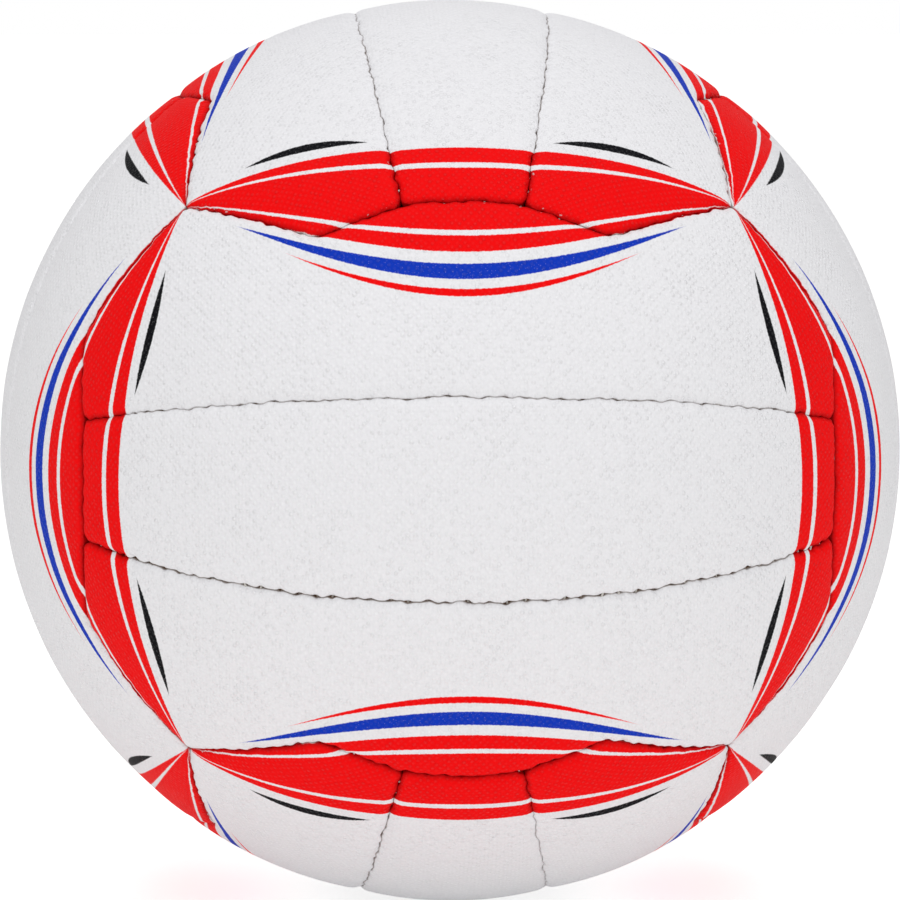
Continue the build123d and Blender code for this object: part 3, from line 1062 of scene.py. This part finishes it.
def bladder_material():
    """Black butyl with talc in patches."""
    material, tree, shader = new_material("butyl")
    place = tree.nodes.new("ShaderNodeTexCoord").outputs["Object"]
    talc = cloud(tree, place, TALC_WAVES, detail=5).above(*TALC_LEVEL)
    flow = cloud(tree, place, FLOW_WAVES, detail=3)
    tree.links.new(blend(tree, talc * flow, BUTYL, BUTYL_TALC), shader.inputs["Base Color"])
    roughen(tree, shader, talc, *BUTYL_ROUGHNESS)
    relief(tree, shader, flow, FLOW_HEIGHT * MM)
    return material


dress("bladder", bladder_material())


# Valve
# A moulded rubber housing that comes up through the back centre panel, and a plug of softer rubber
# pressed into it, with the funnel and the hole that take the pump's needle.

HOUSING_RUBBER = (0.030, 0.030, 0.032, 1)
HOUSING_BLOOM = (0.095, 0.095, 0.098, 1)
PLUG_RUBBER = (0.055, 0.055, 0.058, 1)
PLUG_BLOOM = (0.15, 0.15, 0.155, 1)
BLOOM_WAVES = 700
BLOOM_SHARE = 0.8
EROSION_WAVES = 4500
EROSION_HEIGHT = 0.04
VALVE_ROUGHNESS = (0.48, 0.73)


def valve_material(name, rubber, bloom):
    """Moulded rubber with a dull bloom and a fine spark-eroded grain."""
    material, tree, shader = new_material(name)
    place = tree.nodes.new("ShaderNodeTexCoord").outputs["Object"]
    patches = cloud(tree, place, BLOOM_WAVES, detail=3)
    grain = cloud(tree, place, EROSION_WAVES, detail=1)
    tree.links.new(blend(tree, patches * BLOOM_SHARE, rubber, bloom), shader.inputs["Base Color"])
    roughen(tree, shader, patches, *VALVE_ROUGHNESS)
    relief(tree, shader, grain, EROSION_HEIGHT * MM)
    return material


dress("valve_housing", valve_material("housing_rubber", HOUSING_RUBBER, HOUSING_BLOOM))
dress("valve_plug", valve_material("plug_rubber", PLUG_RUBBER, PLUG_BLOOM))


# Studio
# A pale floor that the ball lies on, white all round, and soft light that is a little stronger
# from above. The camera looks at the front face from far off and slightly above.

# Sizes and places here are in metres, the camera's reach in ball radii and its lens in millimetres
FLOOR_SIZE = 30.0
FLOOR_WHITE = (0.93, 0.93, 0.91, 1)
FLOOR_SHADE = (0.90, 0.90, 0.88, 1)
FLOOR_WAVES = 6
FLOOR_ROUGHNESS = 0.9
# What the floor gives off by itself, and what the camera sees besides that
FLOOR_GLOW = 0.19
FLOOR_WASH = 0.38
SKY_LEVEL = 0.57
TOP_LIGHT_SIZE = 1.6
TOP_LIGHT_AHEAD = 0.4
TOP_LIGHT_HEIGHT = 1.3
TOP_LIGHT_WATTS = 8.3
FRONT_LIGHT_SIZE = 1.2
FRONT_LIGHT_AHEAD = 1.8
FRONT_LIGHT_HEIGHT = 0.6
FRONT_LIGHT_WATTS = 3.4
CAMERA_REACH = 10.1
CAMERA_AZIMUTH = math.radians(-2.0)
CAMERA_ELEVATION = math.radians(6.05)
CAMERA_LENS = 181.1


def make_floor():
    """A wide pale floor under the ball."""
    mesh = bpy.data.meshes.new("floor")
    half = FLOOR_SIZE / 2
    level = -BALL_RADIUS * MM
    corners = [(-half, -half, level), (half, -half, level), (half, half, level), (-half, half, level)]
    mesh.from_pydata(corners, [], [(0, 1, 2, 3)])
    floor = bpy.data.objects.new("floor", mesh)
    bpy.context.scene.collection.objects.link(floor)
    material, tree, shader = new_material("studio_floor")
    place = tree.nodes.new("ShaderNodeTexCoord").outputs["Object"]
    colour = blend(tree, cloud(tree, place, FLOOR_WAVES, detail=4), FLOOR_WHITE, FLOOR_SHADE)
    tree.links.new(colour, shader.inputs["Base Color"])
    shader.inputs["Roughness"].default_value = FLOOR_ROUGHNESS
    seen = Field(tree, tree.nodes.new("ShaderNodeLightPath").outputs["Is Camera Ray"])
    shader.inputs["Emission Color"].default_value = (1, 1, 1, 1)
    tree.links.new((seen * FLOOR_WASH + FLOOR_GLOW).socket, shader.inputs["Emission Strength"])
    mesh.materials.append(material)
    return floor


def make_world():
    """Even white light from all round, seen as pure white by the camera."""
    world = bpy.data.worlds.new("studio")
    world.use_nodes = True
    tree = world.node_tree
    background = tree.nodes["Background"]
    background.inputs["Color"].default_value = (1, 1, 1, 1)
    seen = Field(tree, tree.nodes.new("ShaderNodeLightPath").outputs["Is Camera Ray"])
    tree.links.new((seen * (1 - SKY_LEVEL) + SKY_LEVEL).socket, background.inputs["Strength"])
    bpy.context.scene.world = world


def make_light(name, size, watts, place):
    """A wide soft light that faces the ball."""
    lamp = bpy.data.lights.new(name, "AREA")
    lamp.size = size
    lamp.energy = watts
    light = bpy.data.objects.new(name, lamp)
    light.location = place
    light.rotation_euler = (-Vector(place)).to_track_quat("-Z", "Y").to_euler()
    bpy.context.scene.collection.objects.link(light)


def make_camera():
    """A long lens on the front face."""
    lens = bpy.data.cameras.new("camera")
    lens.lens = CAMERA_LENS
    camera = bpy.data.objects.new("camera", lens)
    level = math.cos(CAMERA_ELEVATION)
    sideways = math.sin(CAMERA_AZIMUTH) * level
    ahead = math.cos(CAMERA_AZIMUTH) * level
    toward = Vector((sideways, -ahead, math.sin(CAMERA_ELEVATION)))
    camera.location = toward * CAMERA_REACH * BALL_RADIUS * MM
    camera.rotation_euler = (-toward).to_track_quat("-Z", "Y").to_euler()
    bpy.context.scene.collection.objects.link(camera)
    bpy.context.scene.camera = camera


make_floor()
make_world()
top_place = (0, -TOP_LIGHT_AHEAD, TOP_LIGHT_HEIGHT)
front_place = (0, -FRONT_LIGHT_AHEAD, FRONT_LIGHT_HEIGHT)
make_light("top_light", TOP_LIGHT_SIZE, TOP_LIGHT_WATTS, top_place)
make_light("front_light", FRONT_LIGHT_SIZE, FRONT_LIGHT_WATTS, front_place)
make_camera()
bpy.context.scene.view_settings.view_transform = "Standard"
